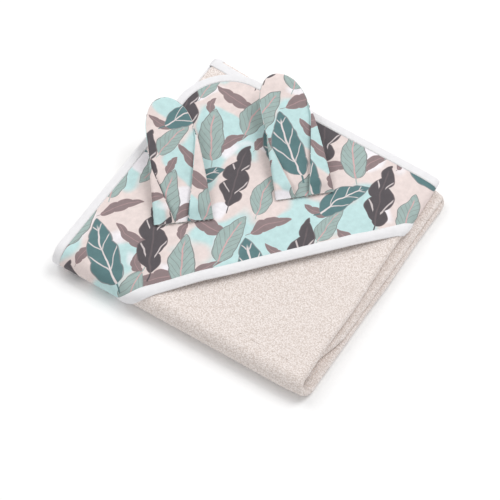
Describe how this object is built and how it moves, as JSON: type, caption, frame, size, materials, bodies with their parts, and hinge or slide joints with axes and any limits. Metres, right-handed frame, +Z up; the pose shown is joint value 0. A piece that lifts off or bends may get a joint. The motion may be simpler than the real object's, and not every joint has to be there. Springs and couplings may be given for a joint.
{
  "type": "hooded baby towel",
  "caption": "Square terry baby towel folded flat in thirds, with a bound corner hood of printed cotton on top that opens as a pocket and carries soft folding ears.",
  "frame": {"origin": "middle of the underside of the folded packet's box, on the surface that it lies on", "axes": "+Z up, +Y from the hood's mouth towards its bound corner, +X along the mouth to the wearer's left"},
  "size_m": [0.401, 0.398, 0.065],
  "materials": {
    "terry_cotton": "looped terry, matt",
    "printed_cotton": "plain weave with a leaf print, matt",
    "lining_cotton": "soft plain weave, matt",
    "binding_tape": "ribbed bias tape, faint sheen",
    "sewing_thread": "polyester thread, faint sheen"
  },
  "bodies": {
    "root": {"terry_bottom_third": "terry_cotton", "terry_inner_fold": "terry_cotton", "terry_inner_third": "terry_cotton", "edge_binding_bottom_side": "binding_tape", "edge_binding_inner_side": "binding_tape", "edge_binding_inner_end": "binding_tape", "edge_binding_hidden_lower": "binding_tape"},
    "top_third": {"terry_top_third": "terry_cotton", "terry_outer_fold": "terry_cotton", "edge_binding_hood": "binding_tape", "edge_binding_top_end": "binding_tape", "edge_binding_hidden_top": "binding_tape", "edge_binding_outer_fold": "binding_tape", "hood_left_wrap": "printed_cotton", "hood_right_wrap": "printed_cotton", "hood_panel": "printed_cotton", "hood_lining": "lining_cotton", "mouth_binding_ends": "binding_tape", "edge_stitching": "sewing_thread", "left_ear_stitching": "sewing_thread", "right_ear_stitching": "sewing_thread"},
    "hood_brim": {"brim_panel": "printed_cotton", "brim_lining": "lining_cotton", "mouth_binding": "binding_tape", "mouth_stitching": "sewing_thread"},
    "left_ear": {"left_ear_front": "printed_cotton", "left_ear_back": "printed_cotton"},
    "right_ear": {"right_ear_front": "printed_cotton", "right_ear_back": "printed_cotton"}
  },
  "joints": [
    {"name": "top_third_unfold", "type": "hinge", "parent": "root", "child": "top_third", "pos_m": [-0.09261, -0.08538, 0.01675], "axis": [0.6743, -0.7385, 0], "range_deg": [0, 165], "deforming": ["terry_outer_fold", "edge_binding_outer_fold", "hood_left_wrap"]},
    {"name": "brim_lift", "type": "hinge", "parent": "top_third", "child": "hood_brim", "pos_m": [0.00863, 0.00098, 0.0335], "axis": [-1, 0, 0], "range_deg": [0, 38]},
    {"name": "left_ear_fold", "type": "hinge", "parent": "top_third", "child": "left_ear", "pos_m": [-0.07037, 0.00598, 0.0351], "axis": [0.9925, -0.1219, 0], "range_deg": [0, 115]},
    {"name": "right_ear_fold", "type": "hinge", "parent": "top_third", "child": "right_ear", "pos_m": [0.05363, 0.00598, 0.0351], "axis": [0.9976, -0.0698, 0], "range_deg": [0, 115]}
  ]
}
